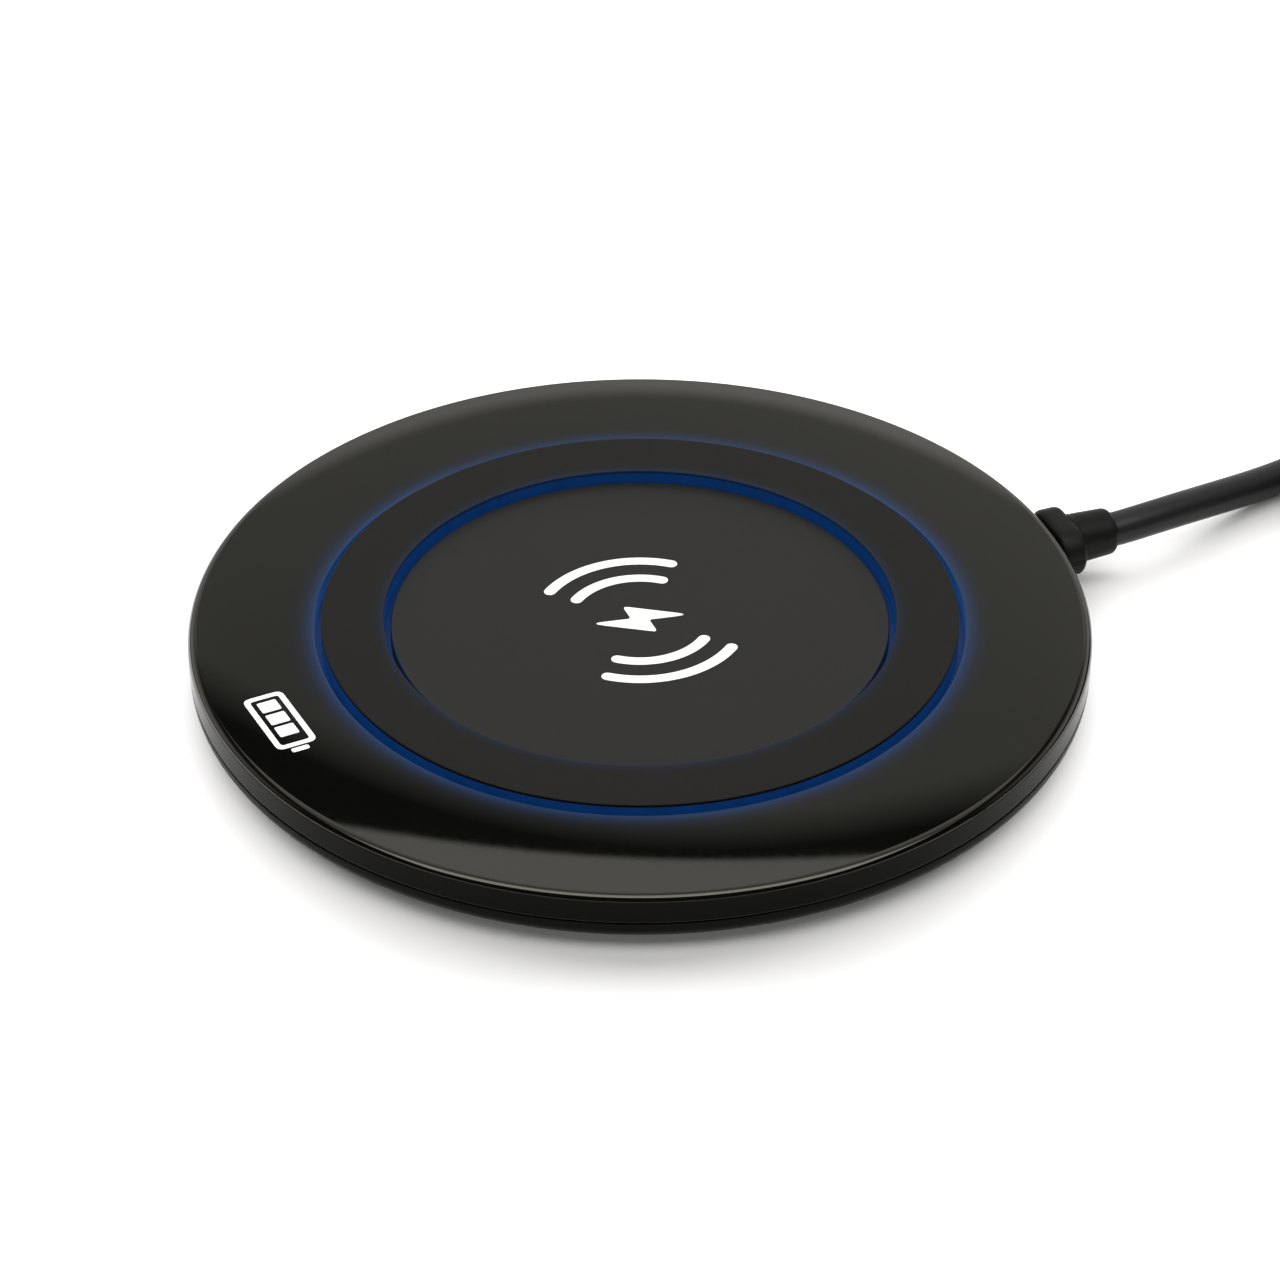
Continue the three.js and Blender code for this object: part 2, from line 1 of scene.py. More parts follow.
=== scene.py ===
"""Looks of the wireless charging pad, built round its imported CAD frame.

Metres, +Z up, and +Y points out of the power socket. Sizes in millimetres are written through MM.
"""

import math

import bmesh
import bpy
from mathutils import Matrix, Vector


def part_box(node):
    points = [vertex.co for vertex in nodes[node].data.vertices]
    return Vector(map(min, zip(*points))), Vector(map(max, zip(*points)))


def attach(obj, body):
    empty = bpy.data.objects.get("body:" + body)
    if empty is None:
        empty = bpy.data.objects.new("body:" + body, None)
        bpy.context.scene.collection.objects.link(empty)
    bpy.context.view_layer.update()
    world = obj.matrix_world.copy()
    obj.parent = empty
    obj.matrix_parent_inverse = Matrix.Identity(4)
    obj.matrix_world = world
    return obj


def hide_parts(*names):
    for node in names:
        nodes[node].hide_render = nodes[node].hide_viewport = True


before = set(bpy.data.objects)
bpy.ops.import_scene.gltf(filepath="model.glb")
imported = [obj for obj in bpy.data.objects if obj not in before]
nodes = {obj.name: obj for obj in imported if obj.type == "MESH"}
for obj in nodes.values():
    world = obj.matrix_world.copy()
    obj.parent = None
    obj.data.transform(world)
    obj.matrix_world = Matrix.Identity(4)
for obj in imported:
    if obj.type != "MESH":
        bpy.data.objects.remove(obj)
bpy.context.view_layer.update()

MM = 0.001
scene = bpy.context.scene
scene.view_settings.view_transform = "Standard"


# ---------------------------------------------------------------- places taken from the frame, in mm


def low(node):
    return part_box(node)[0] / MM


def high(node):
    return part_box(node)[1] / MM


RING_TOP = high("grip_ring").z
RING_OUTER = high("grip_ring").x
SEAT_Z = low("grip_ring").z
DISC_TOP = high("centre_disc").z
DISC_RADIUS = high("centre_disc").x
PAD_RADIUS = high("rim_cover").x
RIM_EDGE_TOP = high("rim_cover").z
BASE_Z = low("bottom_shell").z
SHELL_RADIUS = high("bottom_shell").x
GUIDE_OUTER = high("light_guide").x
GUIDE_BOTTOM = low("light_guide").z
GUIDE_TOP = high("light_guide").z
PORT_Z = (low("micro_plug_shell").z + high("micro_plug_shell").z) / 2
FAR_Z = (low("usb_a_shell").z + high("usb_a_shell").z) / 2

# Sizes that the boxes don't hold.
RING_INNER = 28.35
RIM_INNER = 36.05
RIM_INNER_TOP = 7.25
EDGE_RADIUS = 0.9             # from the rim into the side wall
SEAM_Z = 3.8
SEAM_GAP = 0.15
SEAM_EDGE = 0.3
BASE_RADIUS = 46              # where the underside starts to curve up
BELLY_Z = 3.3                 # where that curve meets the upright side
WALL = 1.8
FLOOR = 1.2
TONGUE = (0.3, 1.1)           # gap to the upper wall, and thickness
TONGUE_BELOW = 0.6            # its top below the ring's seat
PLATEAU = (23.9, 2.9)         # radius and top of the step under the coil
GUIDE_INNER = 24.6
GUIDE_LIP = 0.3
RING_CAP = 0.35
SCREW_CIRCLE = 43.4
SCREW_HEAD_WELL = (2.0, 2.6)  # radius and top
SCREW_HOLE = (1.2, 4.5)
FOOT_RADIUS = 3.2
FOOT_WELL = 0.5
PORT_OPENING = (8.2, 3.0)
PORT_CUT = (44, 52)           # from inside the wall to outside it
PLUG_BODY = (9.6, 6.1)
PLUG_BODY_ENDS = (50.3, 53.3)
PLUG_BODY_EDGE = 0.75
NECK_BACK = (57.6, 2.72)      # where the neck starts to round off, and its radius there
NECK_ROUND = 0.8
FAR_PLUG_PLACE = (54.3, 104.72)
FAR_PLUG_TURN = -155
FAR_BODY = (15.5, 8)
FAR_BODY_ENDS = (9.3, 29.3)
FAR_BODY_EDGE = 0.9
FAR_BODY_CORNER = 2.4
GROOVES = (13.5, 2.0, 5)      # middle of the first, spacing and count
GROOVE_DEPTHS = ((-0.6, 0), (-0.35, 0.22), (0, 0.32), (0.35, 0.22), (0.6, 0))   # along it, and depth there
RIBS = (1.3, 1.9, 4)          # start of the first, spacing and count
RIB_HEIGHT = 0.35
STRAP = (5.0, 0.5)            # width and thickness
STRAP_TURN = -math.pi / 4     # its place round the coil

# ---------------------------------------------------------------- camera

CAMERA_AZIMUTH = math.radians(68)
CAMERA_ELEVATION = math.radians(35)
CAMERA_DISTANCE = 500
CAMERA_LENS = 127.0
CAMERA_SENSOR = 36
CAMERA_AIM_BELOW = 3.2        # aims below the middle of the ring's top, which frames the pad as wanted

# Level directions: to the picture's right, and away from the camera.
across = Vector((math.cos(CAMERA_AZIMUTH), math.sin(CAMERA_AZIMUTH), 0))
ahead = Vector((-math.sin(CAMERA_AZIMUTH), math.cos(CAMERA_AZIMUTH), 0))


def make_camera():
    look = ahead * math.cos(CAMERA_ELEVATION) - Vector((0, 0, math.sin(CAMERA_ELEVATION)))
    up = across.cross(look)
    target = Vector((0, 0, RING_TOP * MM))
    data = bpy.data.cameras.new("camera")
    data.sensor_width = CAMERA_SENSOR
    data.lens = CAMERA_LENS
    data.clip_start = 0.01
    data.clip_end = 20
    camera = bpy.data.objects.new("camera", data)
    scene.collection.objects.link(camera)
    camera.location = target - look * CAMERA_DISTANCE * MM
    aim = target - up * CAMERA_AIM_BELOW * MM
    camera.rotation_euler = (aim - camera.location).to_track_quat("-Z", "Y").to_euler()
    scene.camera = camera


make_camera()

# ---------------------------------------------------------------- the cable's line

CABLE_DIAMETER = 4 * MM
CABLE_EXIT_Y = 58.4
CABLE_START = [(0, 55.2, 4.1), (0, 57, 4.1)]
CABLE_ROUTE = [
    (0, 58.7, 4.1), (-0.15, 61, 4.1), (-0.6, 64, 4.0), (-1.4, 68, 3.7), (-2.4, 72, 3.2),
    (-3.4, 76, 2.7), (-4.4, 80, 2.25), (-5.3, 84, 2.05), (-6.1, 88, 2.1), (-6.7, 91, 2.3),
    (-7.0, 93.4, 2.5), (-7.25, 100, 2.75),
]
COIL_CENTRE = (16.9, 108)
COIL_TURNS = 7 + 110 / 360
# Radius and height of each turn, from the first.
COIL_COLUMNS = (24.2, 20.2, 16.2, 16.2, 20.2, 24.2, 20.2, 24.2)
COIL_LAYERS = (2.8, 2.8, 2.8, 6.8, 6.8, 6.8, 10.8, 11.6)
TAIL_ROUTE = [
    (30, 128.5, 11.2), (34.8, 126.2, 10.7), (39, 123.7, 9.6),
    (42.6, 121.2, 8.0), (46.2, 117.9, 6.2), (49.5, 113.8, 4.9), (52.2, 109.4, 4.2), (54.2, 105, 4.0),
    (55.6, 102, 4.0), (56.9, 99.2, 4.0),
]


def ease(t):
    """From 0 to 1, slow at both ends."""
    t = min(1.0, max(0.0, t))
    return t * t * (3 - 2 * t)


def coil_points(per_turn=24):
    """The wound turns: each change of column or layer comes a little earlier in each turn."""
    window, first, step = 44, 318, 18
    count = round(COIL_TURNS * per_turn)
    points = []
    for i in range(count + 1):
        turned = 360 * COIL_TURNS * i / count
        radius, height = COIL_COLUMNS[0], COIL_LAYERS[0]
        for k in range(len(COIL_COLUMNS) - 1):
            share = ease((turned - (360 * k + first - step * k) + window / 2) / window)
            radius += share * (COIL_COLUMNS[k + 1] - COIL_COLUMNS[k])
            height += share * (COIL_LAYERS[k + 1] - COIL_LAYERS[k])
        angle = math.radians(180 - turned)
        points.append((COIL_CENTRE[0] + radius * math.cos(angle),
                       COIL_CENTRE[1] + radius * math.sin(angle), height))
    return points


def through(points, per_span):
    """A Catmull-Rom line through the points."""
    line = [Vector(p) for p in points]
    out = []
    for i in range(len(line) - 1):
        a = line[max(i - 1, 0)]
        b, c = line[i], line[i + 1]
        d = line[min(i + 2, len(line) - 1)]
        for j in range(per_span):
            t = j / per_span
            out.append(0.5 * (2 * b + (c - a) * t + (2 * a - 5 * b + 4 * c - d) * t * t
                              + (3 * b - a - 3 * c + d) * t ** 3))
    out.append(line[-1])
    return out


def make_cable():
    coil = coil_points()
    points = through(CABLE_START + CABLE_ROUTE + coil[1:] + TAIL_ROUTE, 3)
    data = bpy.data.curves.new("lead_cable", "CURVE")
    data.dimensions = "3D"
    data.bevel_depth = CABLE_DIAMETER / 2
    data.bevel_resolution = 6
    data.use_fill_caps = True
    spline = data.splines.new("POLY")
    spline.points.add(len(points) - 1)
    for point, place in zip(spline.points, points):
        point.co = (*(place * MM), 1)
    spline.use_smooth = True
    cable = bpy.data.objects.new("lead_cable", data)
    scene.collection.objects.link(cable)
    return cable


cable = make_cable()

# ---------------------------------------------------------------- mesh tools


def crease(bm, sharp):
    """Makes edges sharper than that angle hard, and the others smooth."""
    limit = math.radians(sharp)
    for edge in bm.edges:
        edge.smooth = len(edge.link_faces) != 2 or edge.calc_face_angle(0) < limit


def new_object(name, bm, sharp=38):
    """A mesh object of a finished bmesh, in mm, smooth but for edges sharper than that angle."""
    bmesh.ops.recalc_face_normals(bm, faces=bm.faces)
    for face in bm.faces:
        face.smooth = True
    crease(bm, sharp)
    bmesh.ops.scale(bm, vec=(MM, MM, MM), verts=bm.verts)
    mesh = bpy.data.meshes.new(name)
    bm.to_mesh(mesh)
    bm.free()
    piece = bpy.data.objects.new(name, mesh)
    scene.collection.objects.link(piece)
    return piece


def quarter(steps):
    """(sine, cosine) pairs from 0 to 90 degrees."""
    angles = [math.pi / 2 * i / steps for i in range(steps + 1)]
    return [(math.sin(angle), math.cos(angle)) for angle in angles]


def fillet(outline, steps=5):
    """A closed outline of (a, b, radius) corners, with each corner rounded to its radius."""
    out = []
    for i, (x, y, radius) in enumerate(outline):
        here = Vector((x, y))
        before, after = (Vector(outline[j % len(outline)][:2]) - here for j in (i - 1, i + 1))
        if radius <= 0 or before.length < 1e-6 or after.length < 1e-6:
            out.append((x, y))
            continue
        u, v = before.normalized(), after.normalized()
        half = math.acos(max(-1, min(1, u.dot(v)))) / 2
        reach = min(radius / math.tan(half), before.length * 0.49, after.length * 0.49)
        start, end = here + u * reach, here + v * reach
        for k in range(steps + 1):
            t = k / steps
            out.append(tuple(start * (1 - t) ** 2 + here * 2 * t * (1 - t) + end * t * t))
    return out


def held(outline, near=0.04, long=0.5):
    """The outline with a point close to each end of its long sides, which keeps flat faces flat-shaded."""
    out = []
    for i, here in enumerate(outline):
        a, b = Vector(here), Vector(outline[(i + 1) % len(outline)])
        out.append(here)
        side = b - a
        if side.length > long:
            step = side.normalized() * near
            out += [tuple(a + step), tuple(b - step)]
    return out


def turned(outline, segments=256, centre=(0, 0, 0)):
    """A bmesh of a closed (radius, z) outline turned about Z. Points on the axis become poles."""
    bm = bmesh.new()
    outline = held(outline)
    rings = []
    for radius, z in outline:
        count = 1 if radius < 1e-6 else segments
        rings.append([bm.verts.new((centre[0] + radius * math.cos(2 * math.pi * k / segments),
                                    centre[1] + radius * math.sin(2 * math.pi * k / segments),
                                    centre[2] + z)) for k in range(count)])
    for a, b in zip(rings, rings[1:] + rings[:1]):
        for k in range(segments):
            m = (k + 1) % segments
            corners = [a[k % len(a)], a[m % len(a)], b[m % len(b)], b[k % len(b)]]
            face = [v for n, v in enumerate(corners) if v not in corners[:n]]
            if len(face) > 2:
                bm.faces.new(face)
    return bm


def lofted(rings, looped=False):
    """A bmesh through closed rings of the same number of 3D points, with two ends or looped round."""
    bm = bmesh.new()
    made = [[bm.verts.new(p) for p in ring] for ring in rings]
    following = made[1:] + (made[:1] if looped else [])
    for a, b in zip(made, following):
        for k in range(len(a)):
            m = (k + 1) % len(a)
            bm.faces.new((a[k], a[m], b[m], b[k]))
    if not looped:
        bm.faces.new(made[0][::-1])
        bm.faces.new(made[-1])
    return bm


def rounded_section(width, height, corner, inset=0.0, steps=8, sharpest=0.02):
    """Points of a rounded rectangle round (0, 0), pulled in by inset."""
    x, y = width / 2 - corner, height / 2 - corner
    radius = max(corner - inset, sharpest)
    shift = min(0.0, corner - inset - sharpest)
    points = []
    for k, (sx, sy) in enumerate(((1, 1), (-1, 1), (-1, -1), (1, -1))):
        for i in range(steps + 1):
            angle = math.pi / 2 * (k + i / steps)
            points.append((sx * (x + shift) + radius * math.cos(angle),
                           sy * (y + shift) + radius * math.sin(angle)))
    return points


def joined(name, parts):
    """One object of several bmeshes."""
    whole = bmesh.new()
    for part in parts:
        bmesh.ops.recalc_face_normals(part, faces=part.faces)
        mesh = bpy.data.meshes.new("part")
        part.to_mesh(mesh)
        whole.from_mesh(mesh)
        bpy.data.meshes.remove(mesh)
        part.free()
    return new_object(name, whole)


def cut(piece, cutters, sharp):
    """Takes the cutters, bmeshes in mm, away from the piece."""
    tool = joined("cutter", cutters)
    change = piece.modifiers.new("cut", "BOOLEAN")
    change.operation = "DIFFERENCE"
    change.solver = "EXACT"
    change.use_self = True
    change.object = tool
    bpy.context.view_layer.update()
    mesh = bpy.data.meshes.new_from_object(piece.evaluated_get(bpy.context.evaluated_depsgraph_get()))
    piece.modifiers.clear()
    piece.data = mesh
    bpy.data.objects.remove(tool)
    bm = bmesh.new()
    bm.from_mesh(mesh)
    bmesh.ops.remove_doubles(bm, verts=bm.verts, dist=1e-7)
    crease(bm, sharp)
    bm.to_mesh(mesh)
    bm.free()


# ---------------------------------------------------------------- materials

# Blue of the lit guide, also used for the painted blue glow on the rim, ring and disc beside it.
GLOW = (0.03, 0.27, 1.0, 1)
PAINTED_GLOW_FALL = 1.3
WARM_MIRROR = (1.0, 0.97, 0.82, 1)


class Finish:
    """A material's node tree, with short ways to add and join nodes."""

    def __init__(self, name):
        self.material = bpy.data.materials.new(name)
        self.material.use_nodes = True
        self.tree = self.material.node_tree
        self.shader = self.tree.nodes["Principled BSDF"]
        self.place = self.add("ShaderNodeTexCoord").outputs["Object"]

    def add(self, kind, **settings):
        node = self.tree.nodes.new(kind)
        for key, value in settings.items():
            setattr(node, key, value)
        return node

    def feed(self, node, inputs):
        for key, value in inputs.items():
            if isinstance(value, bpy.types.NodeSocket):
                self.tree.links.new(value, node.inputs[key])
            else:
                node.inputs[key].default_value = value

    def noise(self, scale, detail=3.0, roughness=0.5, stretch=None):
        vector = self.place
        if stretch:
            node = self.add("ShaderNodeMapping")
            self.feed(node, {"Vector": vector, "Scale": stretch})
            vector = node.outputs[0]
        node = self.add("ShaderNodeTexNoise")
        self.feed(node, {"Vector": vector, "Scale": scale, "Detail": detail, "Roughness": roughness})
        return node.outputs["Fac"]

    def maths(self, operation, a, b=0.0, c=0.0):
        node = self.add("ShaderNodeMath", operation=operation)
        self.feed(node, {0: a, 1: b, 2: c})
        return node.outputs[0]

    def span(self, value, from_low, from_high, to_low, to_high):
        node = self.add("ShaderNodeMapRange")
        self.feed(node, {"Value": value, "From Min": from_low, "From Max": from_high,
                         "To Min": to_low, "To Max": to_high})
        return node.outputs[0]

    def mix(self, share, a, b):
        node = self.add("ShaderNodeMix", data_type="RGBA")
        self.feed(node, {0: share, 6: a, 7: b})
        return node.outputs[2]

    def bump(self, height, distance):
        node = self.add("ShaderNodeBump")
        self.feed(node, {"Height": height, "Distance": distance, "Strength": 1.0})
        self.feed(self.shader, {"Normal": node.outputs[0]})

    def radius(self):
        """Distance from the pad's axis, in mm."""
        split = self.add("ShaderNodeSeparateXYZ")
        self.feed(split, {0: self.place})
        x, y = split.outputs[0], split.outputs[1]
        square = self.maths("ADD", self.maths("MULTIPLY", x, x), self.maths("MULTIPLY", y, y))
        return self.maths("DIVIDE", self.maths("SQRT", square), MM)

    def painted_glow(self, circle, reach, strength, side):
        """Painted blue glow: emission that falls off from a circle within a reach in mm, outwards (side 1)
        or inwards (-1).
        """
        away = self.maths("MULTIPLY", self.maths("SUBTRACT", self.radius(), circle), side)
        away = self.maths("MAXIMUM", away, 0.0)
        power = self.maths("POWER", self.maths("DIVIDE", away, reach), PAINTED_GLOW_FALL)
        share = self.maths("EXPONENT", self.maths("MULTIPLY", power, -1.0))
        self.shader.inputs["Emission Color"].default_value = GLOW
        self.feed(self.shader, {"Emission Strength": self.maths("MULTIPLY", share, strength)})


def moulding(name, color, roughness, grain=0.12, height=0.004, vary=0.15, spread=0.05,
             metallic=0.0, ior=1.45, stretch=None):
    """A moulded, cast or drawn surface. Grain size and height are in mm.

    The colour changes slowly by the share vary, and the roughness from grain to grain by spread.
    """
    finish = Finish(name)
    slow = finish.noise(90.0, 2.0)
    fine = finish.noise(1 / (grain * MM), 3.0, 0.6, stretch)
    dark = tuple(c * (1 - vary) for c in color) + (1,)
    light = tuple(min(1, c * (1 + vary)) for c in color) + (1,)
    finish.feed(finish.shader, {
        "Base Color": finish.mix(slow, dark, light),
        "Roughness": finish.span(fine, 0.3, 0.7, roughness - spread, roughness + spread),
        "Metallic": metallic,
        "IOR": ior,
    })
    finish.bump(fine, height * MM)
    return finish


CASE_BLACK = (0.0014, 0.0015, 0.0012)
finishes = {
    "gloss_rim": moulding("polished_black", CASE_BLACK, 0.013, 1.2, 0.00005, 0.2, 0.004, ior=1.48),
    "lower_shell": moulding("satin_black", CASE_BLACK, 0.33, 0.1, 0.003, ior=1.16),
    "ring_matte": moulding("soft_touch_ring", (0.0020, 0.0018, 0.0012), 0.5, 0.07, 0.004, 0.1, ior=1.25),
    "disc_matte": moulding("soft_touch_disc", (0.0028, 0.0026, 0.0020), 0.46, 0.07, 0.004, 0.1, ior=1.33),
    "light_guide": moulding("lit_guide", (0.001, 0.012, 0.07), 0.35, 0.5, 0.002, ior=1.2),
    "foot_rubber": moulding("foot_rubber", (0.020, 0.020, 0.020), 0.78, 0.15, 0.02, 0.25),
    "screw_steel": moulding("screw_plating", (0.52, 0.52, 0.51), 0.28, 0.2, 0.002, 0.08, metallic=1),
    "connector_steel": moulding("nickel_sheet", (0.60, 0.59, 0.57), 0.24, 0.25, 0.002, 0.08,
                                metallic=0.75, stretch=(6, 0.4, 6)),
    "contact_gold": moulding("gold_plating", (0.80, 0.56, 0.22), 0.22, 0.1, 0.001, 0.06, metallic=1),
    "connector_insert": moulding("insulator", (0.022, 0.022, 0.024), 0.5, 0.1, 0.003),
    "chip_black": moulding("epoxy_package", (0.02, 0.02, 0.022), 0.6, 0.06, 0.004, 0.2),
    "ceramic_tan": moulding("fired_ceramic", (0.40, 0.28, 0.17), 0.55, 0.1, 0.004, 0.2),
    "crystal_can": moulding("crystal_can", (0.58, 0.58, 0.57), 0.22, 0.2, 0.002, 0.06, metallic=1),
    "led_white": moulding("led_lens", (0.80, 0.83, 0.86), 0.3, 0.3, 0.002, 0.05),
    "copper_wire": moulding("enamelled_copper", (0.66, 0.28, 0.12), 0.32, 0.15, 0.004, 0.2, metallic=1),
    "ferrite": moulding("sintered_ferrite", (0.05, 0.05, 0.055), 0.7, 0.08, 0.01, 0.3),
    "tape_yellow": moulding("film_tape", (0.46, 0.29, 0.04), 0.25, 0.8, 0.004, 0.12),
    "cable_jacket": moulding("cable_jacket", (0.0062, 0.0062, 0.0068), 0.42, 0.25, 0.006, 0.12, ior=1.35),
    "plug_black": moulding("plug_moulding", (0.0020, 0.0021, 0.0016), 0.5, 0.12, 0.008, 0.15, ior=1.25),
}


def board_finish():
    """Solder mask with fine copper tracks showing under it."""
    finish = Finish("solder_mask")
    wave = finish.add("ShaderNodeTexVoronoi", feature="DISTANCE_TO_EDGE")
    finish.feed(wave, {"Vector": finish.place, "Scale": 420.0})
    track = finish.span(wave.outputs["Distance"], 0.05, 0.08, 1.0, 0.0)
    finish.feed(finish.shader, {
        "Base Color": finish.mix(track, (0.010, 0.085, 0.035, 1), (0.03, 0.19, 0.07, 1)),
        "Roughness": finish.span(finish.noise(3000.0), 0.3, 0.7, 0.28, 0.4),
    })
    finish.bump(track, 0.03 * MM)
    return finish


def strap_finish():
    """Woven hook-and-loop strap: a fine twill with a slight fuzz."""
    finish = Finish("strap_weave")
    weave = finish.add("ShaderNodeTexWave", wave_type="BANDS", bands_direction="DIAGONAL")
    finish.feed(weave, {"Vector": finish.place, "Scale": 620.0, "Distortion": 1.5, "Detail": 2.0})
    rib = weave.outputs["Fac"]
    finish.feed(finish.shader, {
        "Base Color": finish.mix(rib, (0.010, 0.010, 0.011, 1), (0.030, 0.030, 0.032, 1)),
        "Roughness": finish.span(rib, 0.0, 1.0, 0.75, 0.9),
    })
    finish.shader.inputs["Sheen Weight"].default_value = 0.25
    finish.bump(rib, 0.05 * MM)
    return finish


def ink_finish():
    """White pad-printed ink, very slightly uneven."""
    finish = Finish("printed_ink")
    fine = finish.noise(5000.0)
    finish.feed(finish.shader, {
        "Base Color": finish.mix(fine, (0.60, 0.60, 0.585, 1), (0.66, 0.66, 0.645, 1)),
        "Roughness": finish.span(fine, 0.3, 0.7, 0.42, 0.56),
    })
    finish.bump(fine, 0.002 * MM)
    return finish


finishes["board_green"] = board_finish()
finishes["tie_black"] = strap_finish()
ink = ink_finish()
side_wall = moulding("side_black", CASE_BLACK, 0.08, 1.2, 0.0001, 0.2, 0.01, ior=1.15)


def light_up():
    """The blue light of the guide, a painted blue glow beside it on the rim, ring and disc, and the mirror
    tint of the two glossy blacks.
    """
    # Painted glow: the guide's light painted as emission onto the rim, the ring's inner edge and the disc's
    # edge.
    finishes["gloss_rim"].painted_glow(RIM_INNER, 0.95, 0.11, 1)
    finishes["ring_matte"].painted_glow(RING_INNER, 0.6, 0.035, 1)
    finishes["disc_matte"].painted_glow(DISC_RADIUS, 0.5, 0.012, -1)
    guide = finishes["light_guide"]
    guide.shader.inputs["Emission Color"].default_value = GLOW
    guide.feed(guide.shader, {"Emission Strength": guide.span(guide.noise(400.0), 0.3, 0.7, 0.05, 0.065)})
    for finish in (finishes["gloss_rim"], side_wall):
        finish.shader.inputs["Specular Tint"].default_value = WARM_MIRROR


light_up()


def dress(piece, slot, body, *stands_for):
    """Gives a new piece its finish and its body, and hides the CAD nodes that it stands for."""
    piece.data.materials.clear()
    piece.data.materials.append(finishes[slot].material)
    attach(piece, body)
    if stands_for:
        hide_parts(*stands_for)
    return piece


# ---------------------------------------------------------------- casing

CASE_SEGMENTS = 320
CASE_SHARP = 50
SIDE_NORMALS = (-0.15, 0.3)   # how far a face of the side wall may lean


def screw_places():
    """Centres of the four screws and of the feet that cover them."""
    turns = [math.radians(45 + 90 * k) for k in range(4)]
    return [(SCREW_CIRCLE * math.cos(turn), SCREW_CIRCLE * math.sin(turn), 0) for turn in turns]


def port_cutter():
    section = rounded_section(*PORT_OPENING, 0.5)
    return lofted([[(x, y, PORT_Z + z) for x, z in section] for y in PORT_CUT])


def screw_cutter(place):
    """The well of a foot, with the counterbore and hole of its screw above it."""
    foot, well = FOOT_RADIUS + 0.2, BASE_Z + FOOT_WELL
    (head, head_top), (hole, hole_top) = SCREW_HEAD_WELL, SCREW_HOLE
    return turned([(0, 0), (foot, 0), (foot, well), (head, well), (head, head_top), (hole, head_top),
                   (hole, hole_top), (0, hole_top)], 64, place)


def rim_height(radius):
    """Height of the rim's slightly dished top."""
    share = (radius - RIM_INNER) / (PAD_RADIUS - EDGE_RADIUS - RIM_INNER)
    return RIM_INNER_TOP + (RIM_EDGE_TOP - RIM_INNER_TOP) * min(1, max(0, share))


def upper_case():
    """The glossy rim with its side wall, which has a finish of its own."""
    wall, seam = PAD_RADIUS - WALL, SEAM_Z + SEAM_GAP
    edge = [(PAD_RADIUS - EDGE_RADIUS * (1 - cosine), RIM_EDGE_TOP - EDGE_RADIUS * (1 - sine), 0)
            for sine, cosine in quarter(32)]
    outline = fillet([(wall, seam, 0.05), (PAD_RADIUS, seam, SEAM_EDGE), *edge,
                      (RIM_INNER, RIM_INNER_TOP, 0.13), (RIM_INNER, SEAT_Z, 0), (wall, SEAT_Z, 0)])
    rim = new_object("case_upper", turned(outline, CASE_SEGMENTS), CASE_SHARP)
    cut(rim, [port_cutter()], CASE_SHARP)
    dress(rim, "gloss_rim", "pad", "rim_cover")
    rim.data.materials.append(side_wall.material)
    for face in rim.data.polygons:
        outside = math.hypot(face.center.x, face.center.y) > (PAD_RADIUS - EDGE_RADIUS) * MM
        face.material_index = int(outside and SIDE_NORMALS[0] < face.normal.z < SIDE_NORMALS[1])


def lower_case():
    """The satin shell: a belly curve outside, a tongue inside the rim and a plateau under the coil."""
    belly = [(BASE_RADIUS + (SHELL_RADIUS - BASE_RADIUS) * sine, BELLY_Z - (BELLY_Z - BASE_Z) * cosine, 0)
             for sine, cosine in quarter(24)]
    tongue = PAD_RADIUS - WALL - TONGUE[0]
    tongue_top = SEAT_Z - TONGUE_BELOW
    inner = BASE_Z + FLOOR
    radius, top = PLATEAU
    outline = fillet([
        (0, BASE_Z, 0), *belly, (SHELL_RADIUS, SEAM_Z, 0.12), (tongue, SEAM_Z, 0), (tongue, tongue_top, 0.1),
        (tongue - TONGUE[1], tongue_top, 0.1), (tongue - TONGUE[1], inner, 0.2), (radius, inner, 0.1),
        (radius, top, 0.1), (0, top, 0)])
    shell = new_object("case_lower", turned(outline, CASE_SEGMENTS), CASE_SHARP)
    cut(shell, [port_cutter(), *map(screw_cutter, screw_places())], CASE_SHARP)
    dress(shell, "lower_shell", "pad", "bottom_shell")


def glow_guide():
    """The clear ring under the rim, with a lit lip at each side of the soft ring."""
    top = SEAT_Z - 0.1
    out_lip, in_lip = RING_OUTER - 0.05, RING_INNER + 0.05
    outline = fillet([
        (GUIDE_INNER, GUIDE_BOTTOM, 0.1), (GUIDE_OUTER, GUIDE_BOTTOM, 0.1), (GUIDE_OUTER, top, 0.1),
        (out_lip, top, 0.08), (out_lip, GUIDE_TOP, 0.05), (out_lip - GUIDE_LIP, GUIDE_TOP, 0.05),
        (out_lip - GUIDE_LIP, top, 0), (in_lip + GUIDE_LIP, top, 0), (in_lip + GUIDE_LIP, GUIDE_TOP, 0.05),
        (in_lip, GUIDE_TOP, 0.05), (in_lip, top, 0.08), (GUIDE_INNER, top, 0.1)])
    dress(new_object("glow_guide", turned(outline)), "light_guide", "pad", "light_guide")


def soft_ring():
    """The raised matte ring, whose cap overhangs the guide's lips."""
    inset = GUIDE_LIP + 0.25
    cap = RING_TOP - RING_CAP
    outline = fillet([
        (RING_INNER + inset, SEAT_Z, 0), (RING_OUTER - inset, SEAT_Z, 0), (RING_OUTER - inset, cap, 0),
        (RING_OUTER, cap, 0.05), (RING_OUTER, RING_TOP, 0.14), (RING_INNER, RING_TOP, 0.14),
        (RING_INNER, cap, 0.05), (RING_INNER + inset, cap, 0)])
    dress(new_object("soft_ring", turned(outline)), "ring_matte", "pad", "grip_ring")


def soft_disc():
    outline = fillet([(0, SEAT_Z, 0), (DISC_RADIUS, SEAT_Z, 0.1), (DISC_RADIUS, DISC_TOP, 0.18),
                      (0, DISC_TOP, 0)])
    dress(new_object("soft_disc", turned(outline)), "disc_matte", "pad", "centre_disc")


